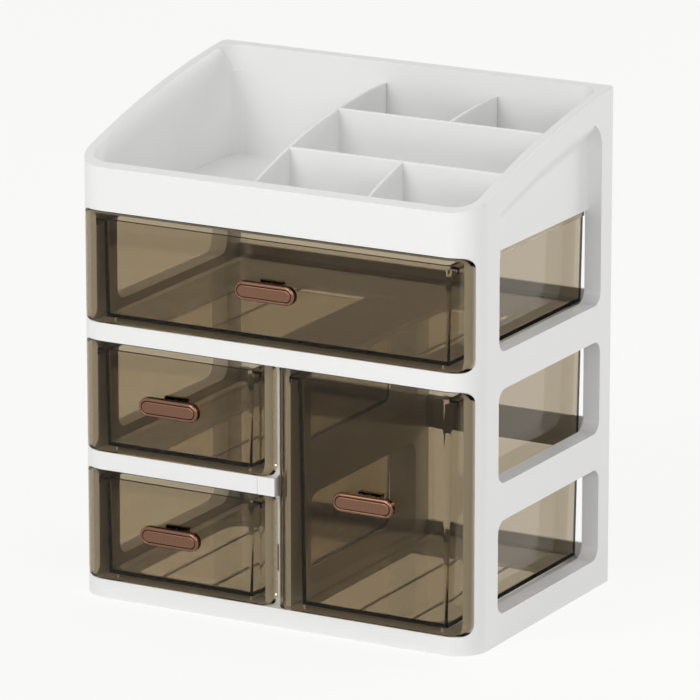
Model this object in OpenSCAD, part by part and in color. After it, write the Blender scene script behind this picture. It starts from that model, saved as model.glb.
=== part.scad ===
// Desk organizer for make-up: a white moulded case, four see-through smoke-brown
// drawers with plated pulls, and an open tray with cells on top.
// Millimetres. z = 0 is the underside, x = 0 and y = 0 are the middle of the case,
// and the drawers pull out towards -y.

/* [Case] */
// Width over the two side panels
case_w = 280; // [250:1:330]
// Depth from the drawer fronts to the back
case_d = 187; // [165:1:215]
// Plan radius of the two front corners
corner_r = 20; // [14:0.5:24]
// Plan radius of the two rear corners
rear_r = 4; // [2:0.5:8]
// Thickness of a side panel
side_t = 11.4; // [9:0.2:14]
// How far each front rail's end piece, moulded on the side panel, reaches in past the corner
lug_len = 2; // [1:0.5:8]

/* [Levels] */
// Height of the base rail
base_h = 12; // [9:0.5:18]
// Height of one drawer row
drawer_h = 71.6; // [60:0.2:90]
// Height of the rails between the rows
rail_h = 11.5; // [9:0.5:16]
// Height of the tray's front apron above the wide drawer
apron_h = 27.6; // [22:0.2:36]
// Rise of the rim from the front of the tray to the back
rim_rise = 42.6; // [30:0.2:60]
// How far the joint between tray and side panels lies below the top of the wide drawer
seam_drop = 6.3; // [5:0.1:8]

/* [Side windows] */
// Solid strip in front of the windows
strip_front = 24.1; // [18:0.1:32]
// Solid strip behind the windows
strip_rear = 17.5; // [13:0.1:24]
// Height of the window sills above each shelf
sill_h = 6.5; // [5.6:0.1:10]
// Height of the window heads below each rail
head_h = 5.5; // [4:0.1:9]
// Corner radius of the windows
window_r = 8; // [4:0.5:12]

/* [Shelves] */
// Thickness of the base and shelf plates
shelf_t = 3; // [2.4:0.1:4]
// Thickness of the rail faces at the front
rail_t = 3; // [2.4:0.1:4]
// Thickness of the rails across the back
back_rail_t = 2.4; // [2:0.1:4]
// Height of the back rails above their shelf
back_rail_rise = 10; // [7:0.5:16]
// Plate left beside the base plate's cut-outs, along the side panels
ledge_side = 17.6; // [16:0.2:26]
// Plate left in front of the cut-outs
ledge_front = 20.5; // [16:0.5:30]
// Rear end of the base plate's cut-outs, from the middle of the case
base_cut_rear = 54; // [30:1:60]
// Rear end of the shelves' cut-outs, from the middle of the case
shelf_cut_rear = 46; // [30:1:60]
// Ends of the upper shelf's two cut-outs, from the middle of the case
upper_cut = [-95, 13, 48, 95];
// Left end of the lower left shelf's cut-out, from the middle of the case
lower_cut = -95; // [-105:1:-92]
// Outer corner radius of the base plate's cut-outs
cutout_r = 12; // [6:0.5:18]
// Corner radius of the shelves' cut-outs
shelf_cut_r = 3; // [2:0.5:8]
// Width of the ribs that the drawers run on
runner_w = 1.2; // [1:0.1:2]
// Height of the thin bars across the cut-outs, flush with the plate
bar_t = 1.4; // [1:0.1:2]
// Running gap between a drawer's floor and the ribs
runner_gap = 0.3; // [0.2:0.05:0.5]
// Distance of the outer ribs from the side panels
runner_side = 13.6; // [11:0.2:15.4]
// Distance of the inner ribs from the centre divider
runner_mid = 9.6; // [9.2:0.2:14]
// Places of the bars across the cut-outs, from the middle of the case
bar_x = [52, 89];
// Width of the beam under the centre divider
beam_w = 12; // [8:0.5:18]
// Depth of the tongues that hold a shelf in the panels
tongue_d = 3; // [2:0.2:4.5]
// Thickness of these tongues
tongue_t = 2; // [1.4:0.1:2.4]
// Length of these tongues
tongue_len = 120; // [60:5:140]
// Clearance of a tongue in its groove
tongue_gap = 0.15; // [0.1:0.05:0.3]

/* [Centre divider] */
// Thickness of the divider between the lower drawers
divider_t = 18.8; // [14:0.2:24]
// Width of the open joint where the lower left shelf meets the divider
shelf_joint = 0.2; // [0.1:0.05:0.4]

// Sides of the catch slot in the divider's front face, from the middle of the case
catch_x = [-3, 0.5];
// Bottom and top of the catch slot above the base
catch_z = [21, 38.5];
// Depth of the catch slot
catch_depth = 12; // [4:0.5:16]

/* [Drawer fronts] */
// Thickness of a drawer front
front_t = 3; // [2.4:0.1:3.6]
// How far the ends of a front wrap back
front_d = 9.1; // [8:0.1:12]
// Gap round a front
front_gap = 0.4; // [0.3:0.05:0.8]
// Gap behind the wrapped ends
wrap_gap = 0.3; // [0.2:0.05:0.6]
// Corner radius of the wrapped ends, seen from the side
wrap_r = 7; // [4:0.5:7.5]
// Plan radius where two fronts meet over the divider
inner_r = 8; // [4:0.5:8]
// Right end of the two left fronts
left_end_x = -0.5; // [-3:0.1:0]
// Left end of the tall front
tall_end_x = 3; // [2:0.1:5]

/* [Drawer tubs] */
// Thickness of the tub walls and floor
tub_wall = 2.2; // [1.8:0.1:2.8]
// Draft of the tub walls in degrees
tub_draft = 1; // [0.4:0.1:1.4]
// Radius of the tub's upright corners at the foot
tub_r = 1.2; // [1:0.1:4]
// Space between a front and its tub
tub_front_gap = 2.5; // [2.2:0.1:3]
// Height of the tub floor above the shelf
tub_lift = 3; // [2.4:0.1:4]
// Height of the row above the tub's rim
tub_drop = 6.4; // [5.5:0.1:9]
// Space between a tub and the back rail
tub_rear_gap = 1.6; // [1:0.1:6]
// Space between a tub and the side panel
tub_side_gap = 7.2; // [6.4:0.1:9]
// Space between a tub and the centre divider
tub_mid_gap = 6; // [5.8:0.1:8]
// Width of the rim's side lips
lip_w = 5.3; // [4:0.1:5.4]
// Thickness of the lips
lip_t = 1.8; // [1.2:0.1:2.4]
// Height of the turned-down edge of the lips
lip_drop = 4.4; // [2:0.1:5]
// Thickness of that edge
lip_edge_t = 1.2; // [0.8:0.1:1.8]

/* [Pulls] */
// Length of a pull
pull_l = 42; // [32:0.5:56]
// Height of a pull
pull_h = 12; // [9:0.5:15]
// Thickness of a pull
pull_t = 5; // [4:0.1:6]
// Space between a pull and the drawer front
pull_stand = 3.2; // [1.6:0.1:5]
// Width of the pull's two legs
leg_w = 4.5; // [3:0.1:6]
// Height of the legs
leg_h = 8.6; // [5:0.1:9]
// Distance between the legs' centres
leg_pitch = 8.6; // [7:0.1:14]
// Clearance of the legs in the front
leg_gap = 0.2; // [0.1:0.05:0.3]
// Material round the legs in the tub's seat
seat_rim = 1.4; // [1:0.1:2.5]
// Bevel round the pull's face
pull_bevel = 0.9; // [0.4:0.1:1.4]
// Width of the rim round the inlay
inlay_rim = 2; // [1.6:0.1:2.6]
// Depth of the inlay's bed
inlay_bed = 1.4; // [1:0.1:1.8]
// Width of the groove round the inlay
inlay_gap = 0.3; // [0.2:0.05:0.5]

// Height of the inlay above the rim
inlay_rise = 0.2; // [0.1:0.05:0.6]
// Bevel round the inlay
inlay_bevel = 0.4; // [0.2:0.1:0.8]

/* [Tray] */
// Radius of the rim's curve seen from the side
rim_r = 780; // [500:10:1500]
// Width of the rim
rim_w = 6; // [4.5:0.1:8]
// Thickness of the basin's walls
basin_wall = 2.6; // [2:0.1:3.2]
// Thickness of the basin's floor
basin_floor = 2; // [1.8:0.1:3]
// Space between the wide tub's rim and the basin
basin_gap = 2.6; // [1.6:0.1:3.2]
// Corner radius of the basin
basin_r = 8; // [4:0.5:12]
// Height over which the basin's wall leans out to the rim
flare_h = 16; // [10:0.5:24]
// Depth of the soft recess in the tray's sides
recess_d = 10; // [7:0.1:10.4]
// Distance of the recess below the rim
recess_drop = 14; // [10:0.5:18]
// Height of the ramp at the recess's top
recess_ramp = 18; // [10:0.5:24]
// Length of the ramp at the recess's front end
recess_lead = 12; // [6:0.5:20]
// Corner radius of the recess at its rear end
recess_r = 17; // [10:0.5:20]
// Diameter of the pegs under the tray
peg_d = 5; // [4:0.1:6]
// Length of these pegs
peg_l = 6; // [4:0.5:9]
// Clearance of a peg in its hole
peg_gap = 0.15; // [0.1:0.05:0.3]

/* [Tray dividers] */
// Thickness of the dividers
wall_t = 2; // [1.4:0.1:3]
// Place of the long divider, front to back
long_x = -19; // [-50:1:10]
// Place of the front cross divider
row_front_y = -36; // [-50:1:-20]
// Place of the rear cross divider
row_rear_y = 26; // [10:1:45]
// Place of the two short dividers
short_x = 60; // [40:1:85]
// Height of the dividers above the basin's floor at the front
divider_front_h = 28; // [20:0.5:29]
// Height of the dividers below the rim at the back
divider_back_drop = 14; // [10:0.5:24]
// Radius of the dividers' top edge
divider_r = 500; // [350:10:900]
// Gap between the dividers and the basin's walls
divider_gap = 0.2; // [0.1:0.05:0.4]

/* [Hidden] */

WHITE = "#f2f2f0";
SMOKE = "#6b5a48";
COPPER = "#b87a63";
INLAY = "#a56a54";

foot_rim = 1;                  // plate that stands out round the divider's foot
round_fn = 48;                 // segments of the ordinary rounds
arc_fn = 720;                  // segments of a full circle for the long rim curves

x_out = case_w / 2;
x_in = x_out - side_t;         // inner face of the right side panel
y_front = -case_d / 2;
y_back = case_d / 2;
y_wrap = y_front + front_d;    // rear edge of the wrapped drawer fronts
y_step = y_wrap + wrap_gap;    // front face of panels and divider behind them
y_rail = y_back - back_rail_t; // front face of the back rails
lug_x = x_out - corner_r - lug_len;
div_x = divider_t / 2;

z_low = base_h;                        // lower row, and the foot of the tall drawer
z_low_top = z_low + drawer_h;
z_mid = z_low_top + rail_h;            // upper row of the left side
z_mid_top = z_mid + drawer_h;
z_wide = z_mid_top + rail_h;           // wide drawer
z_wide_top = z_wide + drawer_h;
z_seam = z_wide_top - seam_drop;       // joint of the tray with the side panels
z_rim = z_wide_top + apron_h;          // front rim of the tray
z_peak = z_rim + rim_rise;             // back rim

y_win = [y_step + strip_front, y_back - strip_rear];
y_cut = y_front + ledge_front;   // front end of all cut-outs
cut_edge = [div_x + foot_rim, x_in - ledge_side];
runner_x = [div_x + runner_mid, x_in - runner_side];

x_cell = x_out - recess_d - basin_wall;        // inner face of the basin's side walls
y_cell = [y_step + basin_wall, y_back - rim_w];
z_basin = z_wide_top - tub_drop + basin_gap;   // underside of the basin
z_cell = z_basin + basin_floor;                // floor of the tray

tub_y = [y_front + front_t + tub_front_gap, y_rail - tub_rear_gap];
tub_x = [div_x + tub_mid_gap, x_in - tub_side_gap];

// Drawers as [front's left end, front's right end, tub's left side, tub's right side, bottom, top]
WIDE = [-x_out, x_out, -tub_x[1], tub_x[1], z_wide, z_wide_top];
UPPER_LEFT = [-x_out, left_end_x, -tub_x[1], -tub_x[0], z_mid, z_mid_top];
LOWER_LEFT = [-x_out, left_end_x, -tub_x[1], -tub_x[0], z_low, z_low_top];
TALL = [tall_end_x, x_out, tub_x[0], tub_x[1], z_low, z_mid_top];

// Centre of the circle with radius r through (y0, z0) and (y1, z1), below them
function arc_centre(y0, z0, y1, z1, r) =
  let (half = norm([y1 - y0, z1 - z0]) / 2, k = sqrt(r * r - half * half) / (2 * half))
  [(y0 + y1) / 2 + k * (z1 - z0), (z0 + z1) / 2 - k * (y1 - y0)];

rim_c = arc_centre(y_front, z_rim, y_back, z_peak, rim_r);
div_c = arc_centre(y_cell[0], z_cell + divider_front_h, y_cell[1], z_peak - divider_back_drop, divider_r);

// Height of the rim at the depth y
function rim_z(y) = rim_c[1] + sqrt(rim_r * rim_r - pow(y - rim_c[0], 2));

// How far a leaning wall goes out over the height h, to a hundredth of a millimetre
function lean_of(h) = round(100 * tan(tub_draft) * h) / 100;

// Soft step from 0 to 1
function ease(t) = t * t * (3 - 2 * t);

// ---- shared shapes -------------------------------------------------------

// Box between two corners
module block(x0, x1, y0, y1, z0, z1) translate([x0, y0, z0]) cube([x1 - x0, y1 - y0, z1 - z0]);

// Rectangle with round corners
module round_rect(x0, x1, y0, y1, r) {
  translate([x0 + r, y0]) square([x1 - x0 - 2 * r, y1 - y0]);
  translate([x0, y0 + r]) square([x1 - x0, y1 - y0 - 2 * r]);
  for (x = [x0 + r, x1 - r], y = [y0 + r, y1 - r]) translate([x, y]) circle(r, $fn = round_fn);
}

// Plan outline with its own radius at the front left, at the front right and at both rear corners
module cap_plan(x0, x1, y0, y1, r_left, r_right, r_rear) {
  r = max(r_left, r_right);
  translate([x0, y0 + r]) square([x1 - x0, y1 - y0 - r - r_rear]);
  translate([x0 + r_rear, y0 + r]) square([x1 - x0 - 2 * r_rear, y1 - y0 - r]);
  translate([x0 + r_left, y0]) square([x1 - x0 - r_left - r_right, r + 1]);
  if (r > r_left) translate([x0, y0 + r_left]) square([r_left, r + 1 - r_left]);
  if (r > r_right) translate([x1 - r_right, y0 + r_right]) square([r_right, r + 1 - r_right]);
  translate([x0 + r_left, y0 + r_left]) circle(r_left, $fn = 2 * round_fn);
  translate([x1 - r_right, y0 + r_right]) circle(r_right, $fn = 2 * round_fn);
  for (x = [x0 + r_rear, x1 - r_rear]) translate([x, y1 - r_rear]) circle(r_rear, $fn = round_fn);
}

// Plan of the whole case
module case_plan() cap_plan(-x_out, x_out, y_front, y_back, corner_r, corner_r, rear_r);

// Extrudes a (y, z) outline from x0 to x1
module along_x(x0, x1) translate([x0, 0, 0]) rotate([90, 0, 90]) linear_extrude(x1 - x0) children();

// Turns an (r, x) outline about an axis along x through (y, z)
module about_x(c) translate([0, c[0], c[1]]) rotate([0, 90, 0]) rotate_extrude($fn = arc_fn) children();

// Upright box with round corners whose walls are inset by d0 at the bottom and by d1 at the top
module tapered(x0, x1, y0, y1, z0, z1, r, d0, d1) {
  along_x(x0 + r, x1 - r) polygon([[y0 + d0, z0], [y1 - d0, z0], [y1 - d1, z1], [y0 + d1, z1]]);
  translate([0, y1 - r, 0]) rotate([90, 0, 0]) linear_extrude(y1 - y0 - 2 * r)
    polygon([[x0 + d0, z0], [x1 - d0, z0], [x1 - d1, z1], [x0 + d1, z1]]);
  for (x = [x0 + r, x1 - r], y = [y0 + r, y1 - r]) translate([x, y, z0])
    cylinder(h = z1 - z0, r1 = r - d0, r2 = r - d1, $fn = round_fn);
}

// Side view of a drawer front: square at the front, round at the wrapped end
module wrap_outline(z0, z1, y1, r) {
  y0 = y_front - 1;
  translate([y0, z0]) square([y1 - r - y0, z1 - z0]);
  translate([y0, z0 + r]) square([y1 - y0, z1 - z0 - 2 * r]);
  for (z = [z0 + r, z1 - r]) translate([y1 - r, z]) circle(r, $fn = round_fn);
}

// Space that a drawer front takes up in the case
module front_void(z0, z1) along_x(-x_out - 1, x_out + 1) wrap_outline(z0, z1, y_step, wrap_r + wrap_gap);

// Window through a panel, from above the shelf z0 to below the rail z1
module window(x0, x1, z0, z1) along_x(x0, x1)
  round_rect(y_win[0], y_win[1], z0 + sill_h, z1 - head_h, window_r);

// Tongue at a shelf's end x, pointing to the side s, or its groove with the clearance c
module tongue(x, s, z_top, c) {
  y_mid = (y_win[0] + y_win[1]) / 2;
  z0 = z_top - (shelf_t + tongue_t) / 2;
  block(min(x - s * c, x + s * (tongue_d + c)), max(x - s * c, x + s * (tongue_d + c)),
    y_mid - tongue_len / 2 - c, y_mid + tongue_len / 2 + c, z0 - c, z0 + tongue_t + c);
}

// ---- case ----------------------------------------------------------------

// Side panel on the right: two strips and the bands between the windows, with the front rails' ends
module side_panel(rails, fronts) {
  difference() {
    union() {
      linear_extrude(z_seam) intersection() {
        case_plan();
        translate([x_in, y_front - 1]) square([side_t + 1, case_d + 2]);
      }
      for (z = rails) translate([0, 0, z[0]]) linear_extrude(z[1] - z[0]) intersection() {
        case_plan();
        translate([lug_x, y_front - 1]) square([x_out - lug_x, y_step - y_front + 1]);
      }
    }
    for (z = fronts) front_void(z[0], z[1]);
    window(x_in - 1, x_out + 1, z_low, z_low_top);
    window(x_in - 1, x_out + 1, z_mid, z_mid_top);
    window(x_in - 1, x_out + 1, z_wide, z_seam + 60);
    for (z = [z_low, z_mid, z_wide]) tongue(x_in, 1, z, tongue_gap);
    for (y = peg_y) translate([peg_x, y, z_seam - peg_l - 1]) cylinder(h = peg_l + 2, d = peg_d + 2 * peg_gap, $fn = round_fn);
  }
}

peg_x = x_in + side_t / 2;
peg_y = [(y_step + y_win[0]) / 2, (y_win[1] + y_back) / 2];

module side_panel_right() color(WHITE)
  side_panel([[0, z_low], [z_mid_top, z_wide]], [[z_low, z_mid_top], [z_wide, z_wide_top]]);

module side_panel_left() color(WHITE) mirror([1, 0, 0])
  side_panel([[0, z_low], [z_low_top, z_mid], [z_mid_top, z_wide]],
    [[z_low, z_low_top], [z_mid, z_mid_top], [z_wide, z_wide_top]]);

// Moulded shelf: plate, front rail, back rail, runners from end to end and thin bars across
// the cut-outs. A cut-out is [left, right, corner radius on the left, on the right].
module shelf(x0, x1, rail_x0, rail_x1, z_top, h, cuts, cut_rear, runners, bars) {
  difference() {
    union() {
      block(x0, x1, y_step, y_back, z_top - shelf_t, z_top);
      block(rail_x0, rail_x1, y_front, y_step, z_top - shelf_t, z_top);
      block(rail_x0, rail_x1, y_front, y_front + rail_t, z_top - h, z_top);
      block(x0, x1, y_rail, y_back, z_top - h, z_top + back_rail_rise);
    }
    for (c = cuts) translate([0, 0, z_top - shelf_t - 1]) linear_extrude(shelf_t + 2)
      cut_plan(c[0], c[1], y_cut, cut_rear, c[2], c[3]);
  }
  for (x = runners)
    block(x - runner_w / 2, x + runner_w / 2, y_step, y_rail, z_top - 1, z_top + tub_lift - runner_gap);
  for (x = bars) block(x - runner_w / 2, x + runner_w / 2, y_cut - 1, cut_rear + 1, z_top - bar_t, z_top);
}

// Plan of a cut-out with its own corner radius on the left and on the right
module cut_plan(x0, x1, y0, y1, r0, r1) {
  translate([x0 + r0, y0]) square([x1 - x0 - r0 - r1, y1 - y0]);
  translate([x0, y0 + r0]) square([r0 + 1, y1 - y0 - 2 * r0]);
  translate([x1 - r1 - 1, y0 + r1]) square([r1 + 1, y1 - y0 - 2 * r1]);
  for (y = [y0 + r0, y1 - r0]) translate([x0 + r0, y]) circle(r0, $fn = round_fn);
  for (y = [y0 + r1, y1 - r1]) translate([x1 - r1, y]) circle(r1, $fn = round_fn);
}

module base_plate() color(WHITE) {
  shelf(-x_in, x_in, -lug_x, lug_x, z_low, base_h,
    [[-cut_edge[1], -cut_edge[0], cutout_r, shelf_cut_r], [cut_edge[0], cut_edge[1], shelf_cut_r, cutout_r]], base_cut_rear,
    [-runner_x[1], -runner_x[0], runner_x[0], runner_x[1]], [-bar_x[1], -bar_x[0], bar_x[0], bar_x[1]]);
  block(-beam_w / 2, beam_w / 2, y_front + rail_t, y_rail, 0, z_low - shelf_t);
  for (s = [-1, 1]) tongue(s * x_in, s, z_low, 0);
}

module shelf_lower_left() color(WHITE) {
  shelf(-x_in, -div_x, -lug_x, -div_x - shelf_joint, z_mid, rail_h,
    [[lower_cut, -div_x - beam_w / 2, shelf_cut_r, shelf_cut_r]], shelf_cut_rear,
    [-runner_x[1], -runner_x[0]], [-bar_x[1], -bar_x[0]]);
  tongue(-x_in, -1, z_mid, 0);
  tongue(-div_x, 1, z_mid, 0);
}

module shelf_upper() color(WHITE) {
  shelf(-x_in, x_in, -lug_x, lug_x, z_wide, rail_h,
    [[upper_cut[0], upper_cut[1], shelf_cut_r, shelf_cut_r], [upper_cut[2], upper_cut[3], shelf_cut_r, shelf_cut_r]],
    shelf_cut_rear, [-runner_x[1], runner_x[1]], [-bar_x[1], -bar_x[0], bar_x[0], bar_x[1]]);
  for (s = [-1, 1]) tongue(s * x_in, s, z_wide, 0);
}

// Rail across the back of the tall drawer's bay, level with the lower left shelf
module back_rail_right() color(WHITE)
  block(div_x, x_in, y_rail, y_back, z_low_top, z_mid + back_rail_rise);

// Upright between the lower drawers, with the end of the lower left shelf's front rail
module centre_divider() color(WHITE) difference() {
  union() {
    block(-div_x, div_x, y_step, y_back, z_low, z_wide - shelf_t);
    block(-div_x, tall_end_x - front_gap, y_front, y_step, z_low_top - wrap_r, z_mid + wrap_r);
  }
  front_void(z_low, z_low_top);
  front_void(z_mid, z_mid_top);
  block(-div_x - 1, div_x + 1, y_rail, y_back + 1, z_low - 1, z_low + back_rail_rise);
  block(-div_x - 1, div_x + 1, y_rail, y_back + 1, z_mid_top, z_wide);
  window(-div_x - 1, div_x + 1, z_low, z_low_top);
  window(-div_x - 1, div_x + 1, z_mid, z_mid_top);
  tongue(-div_x, 1, z_mid, tongue_gap);
  block(catch_x[0], catch_x[1], y_step - 1, y_step + catch_depth, z_low + catch_z[0], z_low + catch_z[1]);
}

// ---- tray ----------------------------------------------------------------

// Inside of the basin: straight below, leaning out to the rim above, smaller by c all round
module basin_void(c) {
  top = rim_r + 3;
  lean_x = (x_out - rim_w - x_cell) / flare_h;
  lean_y = (y_cell[0] - y_front - rim_w) / flare_h;
  x0 = x_cell - c;
  x1 = x0 + lean_x * (flare_h + 3);
  y0 = y_cell[0] + c;
  y1 = y0 - lean_y * (flare_h + 3);
  translate([0, 0, z_cell]) linear_extrude(z_peak - z_cell + 5)
    round_rect(-x0, x0, y0, y_cell[1] - c, basin_r);
  intersection() {
    about_x(rim_c) polygon([[rim_r - flare_h, -x0], [rim_r - flare_h, x0], [top, x1], [top, -x1]]);
    along_x(-x_out, x_out) polygon([[y0, z_rim - flare_h], [y1, z_rim + 3], [y1, z_peak + 5],
      [y_back, z_peak + 5], [y_back, z_rim - flare_h]]);
    translate([0, 0, z_cell]) linear_extrude(z_peak - z_cell + 5)
      round_rect(-x_out + rim_w + c, x_out - rim_w - c, y_front + rim_w + c, y_cell[1] - c, corner_r - rim_w);
  }
}

// Soft recess in the tray's right side, above the window
module side_recess() {
  n = 8;
  low = rim_r - recess_drop - recess_ramp;
  ramp = [for (i = [0 : n]) ease(i / n)];
  intersection() {
    about_x(rim_c) polygon(concat(
      [for (i = [0 : n]) [rim_r - recess_drop - recess_ramp * i / n, x_out - recess_d * ramp[i]]],
      [[low - 100, x_out - recess_d], [low - 100, x_out + 1], [rim_r - recess_drop, x_out + 1]]));
    translate([0, 0, z_seam - 1]) linear_extrude(z_peak - z_seam) polygon(concat(
      [for (i = [0 : n]) [x_out - (recess_d + 0.5) * ramp[i], y_win[0] + recess_lead * i / n]],
      [[x_out - recess_d - 0.5, y_win[1] + 1], [x_out + 1, y_win[1] + 1], [x_out + 1, y_win[0]]]));
    along_x(x_in, x_out + 2)
      round_rect(y_win[0] - 40, y_win[1], z_seam - 60, rim_z(y_win[1] - recess_r) - recess_drop, recess_r);
  }
}

module top_tray() color(WHITE) {
  difference() {
    intersection() {
      translate([0, 0, z_seam]) linear_extrude(z_peak - z_seam + 5) case_plan();
      along_x(-x_out - 1, x_out + 1) translate(rim_c) circle(rim_r, $fn = arc_fn);
    }
    basin_void(0);
    front_void(z_wide, z_wide_top);
    block(-x_in, x_in, y_step - 1, y_back + 1, z_seam - 1, z_basin);
    block(-lug_x, lug_x, y_front + rail_t, y_step, z_wide_top - 1, z_rim - flare_h);
    side_recess();
    mirror([1, 0, 0]) side_recess();
  }
  for (s = [-1, 1], y = peg_y) translate([s * peg_x, y, z_seam - peg_l]) cylinder(h = peg_l + 1, d = peg_d, $fn = round_fn);
}

module tray_dividers() color(WHITE) intersection() {
  union() {
    block(long_x - wall_t / 2, long_x + wall_t / 2, y_front, y_back, z_cell, z_peak);
    for (y = [row_front_y, row_rear_y]) block(long_x, x_out, y - wall_t / 2, y + wall_t / 2, z_cell, z_peak);
    block(short_x - wall_t / 2, short_x + wall_t / 2, y_front, row_front_y, z_cell, z_peak);
    block(short_x - wall_t / 2, short_x + wall_t / 2, row_rear_y, y_back, z_cell, z_peak);
  }
  basin_void(divider_gap);
  along_x(-x_out, x_out) translate(div_c) circle(divider_r, $fn = arc_fn);
}

// ---- drawers -------------------------------------------------------------

// Bent plate in front of a drawer, open for the pull's legs
module drawer_front(d) {
  r_left = d[0] < -lug_x ? corner_r : inner_r;
  r_right = d[1] > lug_x ? corner_r : inner_r;
  color(SMOKE) difference() {
    intersection() {
      translate([0, 0, d[4] + front_gap]) linear_extrude(d[5] - d[4] - 2 * front_gap) difference() {
        cap_plan(d[0], d[1], y_front, y_back, r_left, r_right, 1);
        cap_plan(d[0] + front_t, d[1] - front_t, y_front + front_t, y_back + 10,
          r_left - front_t, r_right - front_t, 1);
      }
      along_x(d[0] - 1, d[1] + 1) wrap_outline(d[4] + front_gap, d[5] - front_gap, y_wrap, wrap_r);
    }
    legs(d, leg_gap, -1, front_t + 1);
  }
}

// Legs of a pull, from y0 to y1 behind the front's face, larger by c all round
module legs(d, c, y0, y1) for (s = [-1, 1]) {
  x = (d[2] + d[3]) / 2 + s * leg_pitch / 2;
  z = (d[4] + d[5]) / 2;
  block(x - leg_w / 2 - c, x + leg_w / 2 + c, y_front + y0, y_front + y1, z - leg_h / 2 - c, z + leg_h / 2 + c);
}

// Open tub with leaning walls, side lips and the seat of the pull's legs
module drawer_tub(d) {
  z0 = d[4] + tub_lift;
  z1 = d[5] - tub_drop;
  zc = (d[4] + d[5]) / 2;
  xc = (d[2] + d[3]) / 2;
  lean = lean_of(z1 - z0);
  lean_in = lean_of(z1 - z0 - tub_wall);
  color(SMOKE) difference() {
    union() {
      tapered(d[2], d[3], tub_y[0], tub_y[1], z0, z1, tub_r + lean, lean, 0);
      for (s = [-1, 1]) {
        edge = s < 0 ? d[2] : d[3];
        rim = edge + s * lip_w;
        block(min(edge - s, rim), max(edge - s, rim), tub_y[0] + tub_r, tub_y[1] - tub_r, z1 - lip_t, z1);
        block(min(rim, rim - s * lip_edge_t), max(rim, rim - s * lip_edge_t),
          tub_y[0] + tub_r, tub_y[1] - tub_r, z1 - lip_drop, z1);
      }
      for (x = [xc - leg_pitch / 2, xc + leg_pitch / 2]) block(x - seat_w / 2, x + seat_w / 2, y_front + front_t,
        tub_y[0] + lean_of(z1 - zc) + tub_wall / 2, zc - seat_h / 2, zc + seat_h / 2);
    }
    tapered(d[2] + tub_wall, d[3] - tub_wall, tub_y[0] + tub_wall, tub_y[1] - tub_wall,
      z0 + tub_wall, z1 + 1, tub_r / 2 + lean_in, lean_in, -lean_of(1));
    legs(d, leg_gap, front_t - 1, front_t + tub_front_gap);
  }
}

seat_w = leg_w + 2 * seat_rim;
seat_h = leg_h + 2 * seat_rim;

// Turns a shape that is drawn lying on its back to stand against the front of the drawer d
module on_front(d) translate([(d[2] + d[3]) / 2, y_front, (d[4] + d[5]) / 2]) rotate([90, 0, 0]) children();

// Long pill of a pull, inset by i, from z0 to z1, with the bevels b0 behind and b1 in front
module pill(i, z0, z1, b0, b1) {
  x = pull_l / 2 - i;
  y = pull_h / 2 - i;
  if (b0 > 0) capsule(x, y, z0, z0 + b0, b0, 0);
  capsule(x, y, z0 + b0, z1 - b1, 0, 0);
  capsule(x, y, z1 - b1, z1, 0, b1);
}

// Slab with half-round ends, inset by d0 at its back and d1 at its face
module capsule(x, y, z0, z1, d0, d1) {
  along_x(-x + y, x - y) polygon([[-y + d0, z0], [y - d0, z0], [y - d1, z1], [-y + d1, z1]]);
  for (s = [-1, 1]) translate([s * (x - y), 0, z0]) cylinder(h = z1 - z0, r1 = y - d0, r2 = y - d1, $fn = round_fn);
}

// Plated pull with the bed of its inlay
module drawer_pull(d) color(COPPER) {
  on_front(d) difference() {
    pill(0, pull_stand, pull_stand + pull_t, 0.6, pull_bevel);
    pill(inlay_rim, pull_stand + pull_t - inlay_bed, pull_stand + pull_t + 1, 0, 0.1);
  }
  legs(d, 0, -pull_stand - 0.6, front_t + tub_front_gap);
}

// Raised plate in a pull's bed
module drawer_inlay(d) color(INLAY) on_front(d)
  pill(inlay_rim + inlay_gap, pull_stand + pull_t - inlay_bed, pull_stand + pull_t + inlay_rise, 0, inlay_bevel);

module wide_drawer_tub() drawer_tub(WIDE);
module wide_drawer_front() drawer_front(WIDE);
module wide_drawer_pull() drawer_pull(WIDE);
module wide_drawer_inlay() drawer_inlay(WIDE);
module upper_left_drawer_tub() drawer_tub(UPPER_LEFT);
module upper_left_drawer_front() drawer_front(UPPER_LEFT);
module upper_left_drawer_pull() drawer_pull(UPPER_LEFT);
module upper_left_drawer_inlay() drawer_inlay(UPPER_LEFT);
module lower_left_drawer_tub() drawer_tub(LOWER_LEFT);
module lower_left_drawer_front() drawer_front(LOWER_LEFT);
module lower_left_drawer_pull() drawer_pull(LOWER_LEFT);
module lower_left_drawer_inlay() drawer_inlay(LOWER_LEFT);
module tall_drawer_tub() drawer_tub(TALL);
module tall_drawer_front() drawer_front(TALL);
module tall_drawer_pull() drawer_pull(TALL);
module tall_drawer_inlay() drawer_inlay(TALL);

base_plate();
side_panel_left();
side_panel_right();
centre_divider();
shelf_lower_left();
back_rail_right();
shelf_upper();
top_tray();
tray_dividers();
wide_drawer_tub();
wide_drawer_front();
wide_drawer_pull();
wide_drawer_inlay();
upper_left_drawer_tub();
upper_left_drawer_front();
upper_left_drawer_pull();
upper_left_drawer_inlay();
lower_left_drawer_tub();
lower_left_drawer_front();
lower_left_drawer_pull();
lower_left_drawer_inlay();
tall_drawer_tub();
tall_drawer_front();
tall_drawer_pull();
tall_drawer_inlay();
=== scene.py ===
"""Desk organizer with see-through drawers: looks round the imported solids."""

import math

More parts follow.
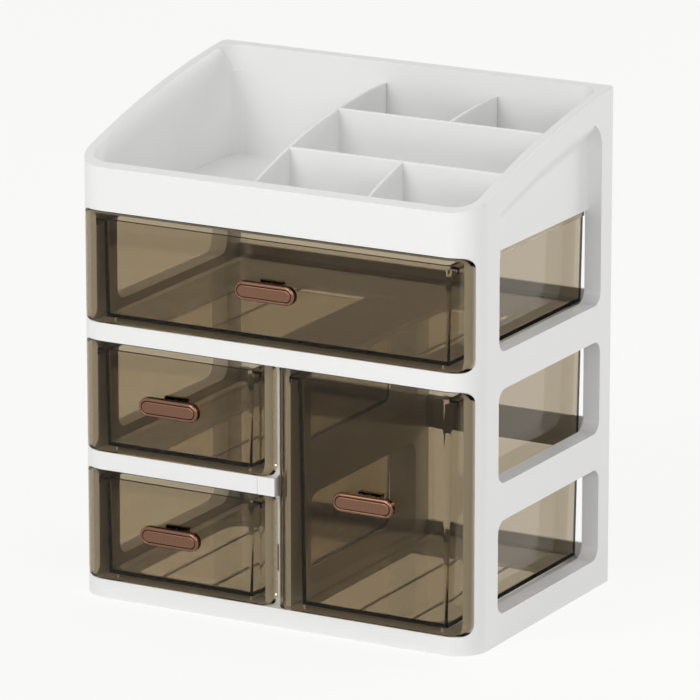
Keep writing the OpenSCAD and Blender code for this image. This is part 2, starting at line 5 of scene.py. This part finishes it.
import bmesh
import bpy
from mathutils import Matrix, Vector


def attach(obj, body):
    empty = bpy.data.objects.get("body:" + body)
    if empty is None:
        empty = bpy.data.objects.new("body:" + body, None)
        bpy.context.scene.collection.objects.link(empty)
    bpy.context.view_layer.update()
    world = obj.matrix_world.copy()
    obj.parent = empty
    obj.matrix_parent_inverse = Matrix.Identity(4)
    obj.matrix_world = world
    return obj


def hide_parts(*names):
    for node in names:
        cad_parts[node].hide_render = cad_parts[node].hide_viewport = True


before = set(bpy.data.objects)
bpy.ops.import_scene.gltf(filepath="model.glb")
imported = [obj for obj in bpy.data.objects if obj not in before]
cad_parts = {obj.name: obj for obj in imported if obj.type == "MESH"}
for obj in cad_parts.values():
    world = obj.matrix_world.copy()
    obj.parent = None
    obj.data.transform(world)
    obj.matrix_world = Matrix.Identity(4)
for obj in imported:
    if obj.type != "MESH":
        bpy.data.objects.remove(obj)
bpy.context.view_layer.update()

# ---- Camera --------------------------------------------------------------------------------
# A long lens from the right of the front and a little above, as a catalogue
# picture is taken. All four drawer fronts, the tray and the right side are in view.

VIEW_AZIMUTH = math.radians(28.95)     # to the right of the front
VIEW_ELEVATION = math.radians(15.26)
VIEW_DISTANCE = 3.825                  # metres
VIEW_TARGET = Vector((0.0039, 0.0, 0.1549))
PICTURE_LENS = 315.5                   # mm, for the sensor below
SENSOR_WIDTH = 36                      # mm
FARTHEST_SEEN = 50                     # metres, past the floor's far corners

view_side = Vector((
    math.sin(VIEW_AZIMUTH) * math.cos(VIEW_ELEVATION),
    -math.cos(VIEW_AZIMUTH) * math.cos(VIEW_ELEVATION),
    math.sin(VIEW_ELEVATION),
))
camera = bpy.data.objects.new("camera", bpy.data.cameras.new("camera"))
camera.data.sensor_width = SENSOR_WIDTH
camera.data.lens = PICTURE_LENS
camera.data.clip_end = FARTHEST_SEEN
camera.location = VIEW_TARGET + VIEW_DISTANCE * view_side
camera.rotation_euler = (-view_side).to_track_quat("-Z", "Y").to_euler()
bpy.context.collection.objects.link(camera)
bpy.context.scene.camera = camera

# ---- White case ----------------------------------------------------------------------------
# Base, two side panels with windows, centre divider, shelves and back rail, moulded in white
# ABS. The tool is lightly etched, so the faces are satin, and every edge has a small radius.
# Where a front rail meets its end on the side panel the joint is flush and has no radius.

MM = 0.001
CASE_EDGE = 0.9 * MM
EDGE_STEPS = 3                         # faces across an edge's radius
SHARP = math.radians(30)               # an edge that bends more than this gets the radius
FLAT = math.radians(0.4)               # faces that bend less than this become one face
WELD = 0.001 * MM                      # corners closer than this become one corner
RAIL_JOINT = 118 * MM                  # the front rails butt against the side panels here
ON_JOINT = 0.01 * MM                   # corners closer than this to the joint's plane lie on it
ETCH_GRAIN = 0.455 * MM                # real etching is finer; drawn coarser so that it shows
ETCH_DEPTH = 0.02 * MM


def linear(hex_colour):
    """A linear RGBA colour from an sRGB hex value."""
    parts = [int(hex_colour[i:i + 2], 16) / 255 for i in (1, 3, 5)]
    return [p / 12.92 if p <= 0.04045 else ((p + 0.055) / 1.055) ** 2.4 for p in parts] + [1]


def add_node(tree, kind, settings=(), links=()):
    """Adds a node, sets its inputs and properties and links sockets to its inputs."""
    node = tree.nodes.new("ShaderNode" + kind)
    for key, value in dict(settings).items():
        if isinstance(key, int) or key in node.inputs:
            node.inputs[key].default_value = value
        else:
            setattr(node, key, value)
    for key, socket in dict(links).items():
        tree.links.new(socket, node.inputs[key])
    return node


def new_material(name):
    """An empty node material, its tree and its output node."""
    material = bpy.data.materials.new(name)
    material.use_nodes = True
    material.node_tree.nodes.clear()
    return material, material.node_tree, add_node(material.node_tree, "OutputMaterial")


def stand_in(name, mesh, material, body):
    """Puts a mesh in one material in the place of a solid, on the solid's body."""
    piece = bpy.data.objects.new(name + "_moulding", mesh)
    bpy.context.collection.objects.link(piece)
    mesh.materials.clear()
    mesh.materials.append(material)
    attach(piece, body)
    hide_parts(name)
    return piece


def mould(name, radius, material, body, flush_x=None):
    """Replaces a solid by a copy with round edges, but not on the flush joints x = +-flush_x."""
    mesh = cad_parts[name].data.copy()
    work = bmesh.new()
    work.from_mesh(mesh)
    bmesh.ops.remove_doubles(work, verts=work.verts, dist=WELD)
    bmesh.ops.dissolve_limit(work, angle_limit=FLAT, verts=work.verts, edges=work.edges)
    weight = work.edges.layers.float.new("bevel_weight_edge")
    for edge in work.edges:
        flush = flush_x and all(abs(abs(v.co.x) - flush_x) < ON_JOINT for v in edge.verts)
        sharp = edge.is_manifold and edge.calc_face_angle(0) > SHARP
        edge[weight] = float(sharp and not flush)
        edge.smooth = not sharp
    for face in work.faces:
        face.smooth = True
    work.to_mesh(mesh)
    work.free()
    if "custom_normal" in mesh.attributes:
        mesh.attributes.remove(mesh.attributes["custom_normal"])
    piece = stand_in(name, mesh, material, body)
    edges = piece.modifiers.new("edge radius", "BEVEL")
    edges.limit_method = "WEIGHT"
    edges.width = radius
    edges.segments = EDGE_STEPS
    normals = piece.modifiers.new("flat faces", "WEIGHTED_NORMAL")
    normals.keep_sharp = True
    return piece


# White ABS with the fine etched grain of the mould, which softens its shine.
white_abs, tree, output = new_material("white_moulded_abs")
surface_point = add_node(tree, "TexCoord").outputs["Object"]
grain = add_node(tree, "TexNoise", {"Scale": 1 / ETCH_GRAIN, "Detail": 2},
                 {"Vector": surface_point})
relief = add_node(tree, "Bump", {"Strength": 0.05, "Distance": ETCH_DEPTH},
                  {"Height": grain.outputs["Fac"]})
shine = add_node(tree, "MapRange", {"To Min": 0.36, "To Max": 0.46},
                 {"Value": grain.outputs["Fac"]})
plastic = add_node(tree, "BsdfPrincipled", {"Base Color": linear("#eeeeec"), "IOR": 1.5},
                   {"Normal": relief.outputs["Normal"], "Roughness": shine.outputs["Result"]})
tree.links.new(plastic.outputs["BSDF"], output.inputs["Surface"])

for part in (
        "base_plate", "side_panel_left", "side_panel_right", "shelf_lower_left", "shelf_upper"):
    mould(part, CASE_EDGE, white_abs, "case", RAIL_JOINT)
for part in ("centre_divider", "back_rail_right"):
    mould(part, CASE_EDGE, white_abs, "case")

# ---- Tray ----------------------------------------------------------------------------------
# The open tray is a second white moulding of the same ABS, seated on the side panels. Its
# dividers are one more moulding, with thin walls, that drops into it.

TRAY_EDGE = 1.6 * MM
DIVIDER_EDGE = 0.5 * MM

mould("top_tray", TRAY_EDGE, white_abs, "case")
mould("tray_dividers", DIVIDER_EDGE, white_abs, "case")

# ---- Drawers -------------------------------------------------------------------------------
# Each drawer is a deep tub behind a bent front plate, both injection moulded in clear
# polystyrene tinted smoke brown and polished. A plated pull with a ribbed inlay is pegged
# through the front.

FRONT_EDGE = 0.5 * MM
PULL_EDGE = 0.45 * MM
INLAY_EDGE = 0.2 * MM
SMOKE_DENSITY = 400                    # per metre: 2.5 mm let through 0.54 to 0.68 of the light
RIB_SPACING = 0.987 * MM               # finer ribs would not show in the picture
RIB_DEPTH = 0.03 * MM
BAND_PERIOD = 2 * math.pi / 20         # a band texture of scale 1 repeats after this length


def as_cut(name, material, body):
    """Replaces a solid by a copy with its own crisp edges, because bent light shows them all."""
    return stand_in(name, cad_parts[name].data.copy(), material, body)


# Smoke brown polystyrene: its whole body takes up light, so walls seen on edge are darker, and
# it lets the lamps through nearly clear, so what lies inside a drawer stays visible. The grey
# tint of its mirror shine keeps the bright studio from hiding the inside.
smoke, tree, output = new_material("smoke_brown_polystyrene")
clear = add_node(tree, "BsdfPrincipled", {
    "Base Color": linear("#ffffff"), "Transmission Weight": 1.0, "IOR": 1.45, "Roughness": 0.0,
    "Specular Tint": linear("#8c8c8c"),
})
lamp_light = add_node(tree, "BsdfTransparent", {"Color": linear("#eeebe4")})
rays = add_node(tree, "LightPath")
passes = add_node(tree, "Math", {"operation": "MAXIMUM"},
                  {0: rays.outputs["Is Shadow Ray"], 1: rays.outputs["Is Diffuse Ray"]})
surface = add_node(tree, "MixShader", {}, {
    0: passes.outputs[0], 1: clear.outputs["BSDF"], 2: lamp_light.outputs["BSDF"],
})
tint = add_node(tree, "VolumeAbsorption",
                {"Color": linear("#cec2a8"), "Density": SMOKE_DENSITY})
tree.links.new(surface.outputs[0], output.inputs["Surface"])
tree.links.new(tint.outputs["Volume"], output.inputs["Volume"])

# Rose copper plating on the pulls: smooth, so its rounded rim mirrors the pale studio.
copper, tree, output = new_material("rose_copper_plating")
plating = add_node(tree, "BsdfPrincipled", {
    "Base Color": linear("#7c5b4a"), "Metallic": 1.0, "Roughness": 0.1,
})
tree.links.new(plating.outputs["BSDF"], output.inputs["Surface"])

# The inlay is the same plating on a finely ribbed face, so it looks duller than the rim, and it
# has painted shade in the grooves between the ribs.
lined_copper, tree, output = new_material("lined_rose_copper")
surface_point = add_node(tree, "TexCoord").outputs["Object"]
ribs = add_node(tree, "TexWave", {
    "wave_type": "BANDS", "bands_direction": "X", "Scale": BAND_PERIOD / RIB_SPACING,
    "Distortion": 1.6, "Detail": 2, "Detail Scale": 1.5,
}, {"Vector": surface_point})
relief = add_node(tree, "Bump", {"Strength": 0.2, "Distance": RIB_DEPTH},
                  {"Height": ribs.outputs["Fac"]})
# Painted shade: the colour follows the rib relief, #80604e on the ribs and darker #745443 in the
# grooves.
painted_groove_shade = add_node(tree, "MixRGB", {1: linear("#745443"), 2: linear("#80604e")},
                 {0: ribs.outputs["Fac"]})
plating = add_node(tree, "BsdfPrincipled", {"Metallic": 1.0, "Roughness": 0.24},
                   {"Normal": relief.outputs["Normal"], "Base Color": painted_groove_shade.outputs[0]})
tree.links.new(plating.outputs["BSDF"], output.inputs["Surface"])

see_through = bpy.data.collections.new("see_through_pieces")
for drawer in ("wide_drawer", "upper_left_drawer", "lower_left_drawer", "tall_drawer"):
    tub = as_cut(drawer + "_tub", smoke, drawer)
    front = mould(drawer + "_front", FRONT_EDGE, smoke, drawer)
    see_through.objects.link(tub)
    see_through.objects.link(front)
    mould(drawer + "_pull", PULL_EDGE, copper, drawer)
    mould(drawer + "_inlay", INLAY_EDGE, lined_copper, drawer)

# ---- Studio --------------------------------------------------------------------------------
# A pale floor and a soft even sky, with large soft lamps above, at the right and behind. A
# low lamp in front lights the inside of the case, and the see-through pieces don't shade it.

FLOOR_REACH = 6.0                      # metres from the middle to each side
FLOOR_GLOW = 0.86                      # the rest of the floor's look is lit, and takes shadows
SKY_LIGHT = 0.44
BACKDROP_LIGHT = 1.0
LAMP_TARGET = Vector((0, 0, 0.15))
LAMPS = (                              # name, place and size in metres, power in watts
    ("key", (-0.8, -2.6, 2.1), 1.6, 35),
    ("front", (-0.6, -3.0, 0.3), 0.9, 14),
    ("fill", (2.0, -0.9, 1.6), 1.6, 13),
    ("back", (1.8, 2.6, 1.2), 1.4, 24),
)


def rays_of_the_eye(tree):
    """1 on rays that reach the eye straight, mirrored or through the plastic, and 0 on others."""
    rays = add_node(tree, "LightPath")
    seen = rays.outputs["Is Camera Ray"]
    for kind in ("Is Glossy Ray", "Is Transmission Ray"):
        total = add_node(tree, "Math", {"operation": "ADD", "use_clamp": True},
                         {0: seen, 1: rays.outputs[kind]})
        seen = total.outputs[0]
    return seen


# Matt white paper that mostly glows by itself to the eye, so that it meets the backdrop
# without a line and still shows the object's soft shadow.
pale, tree, output = new_material("pale_floor")
glow_share = add_node(tree, "Math", {"operation": "MULTIPLY", 1: FLOOR_GLOW},
                      {0: rays_of_the_eye(tree)})
matt = add_node(tree, "BsdfDiffuse", {"Color": linear("#f6f6f4")})
glow = add_node(tree, "Emission", {"Color": linear("#fffffd"), "Strength": BACKDROP_LIGHT})
mix = add_node(tree, "MixShader", {}, {
    0: glow_share.outputs[0], 1: matt.outputs["BSDF"], 2: glow.outputs["Emission"],
})
tree.links.new(mix.outputs[0], output.inputs["Surface"])

floor_corners = [(x * FLOOR_REACH, y * FLOOR_REACH, 0)
                 for x, y in ((-1, -1), (1, -1), (1, 1), (-1, 1))]
floor_mesh = bpy.data.meshes.new("floor")
floor_mesh.from_pydata(floor_corners, [], [(0, 1, 2, 3)])
floor_mesh.materials.append(pale)
floor = bpy.data.objects.new("floor", floor_mesh)
bpy.context.collection.objects.link(floor)

world = bpy.data.worlds.new("studio")
world.use_nodes = True
tree = world.node_tree
tree.nodes.clear()
output = add_node(tree, "OutputWorld")
backdrop = add_node(tree, "Background", {
    "Color": linear("#fffffd"), "Strength": BACKDROP_LIGHT,
})
sky = add_node(tree, "Background", {"Color": linear("#fbfbff"), "Strength": SKY_LIGHT})
mix = add_node(tree, "MixShader", {}, {
    0: rays_of_the_eye(tree), 1: sky.outputs[0], 2: backdrop.outputs[0],
})
tree.links.new(mix.outputs[0], output.inputs["Surface"])
bpy.context.scene.world = world
bpy.context.scene.view_settings.view_transform = "Standard"

for piece in see_through.collection_objects:
    piece.light_linking.link_state = "EXCLUDE"

for name, place, size, power in LAMPS:
    lamp = bpy.data.objects.new(name, bpy.data.lights.new(name, "AREA"))
    lamp.data.size = size
    lamp.data.energy = power
    lamp.location = place
    lamp.rotation_euler = (LAMP_TARGET - lamp.location).to_track_quat("-Z", "Y").to_euler()
    bpy.context.collection.objects.link(lamp)
    if name == "front":
        lamp.light_linking.blocker_collection = see_through
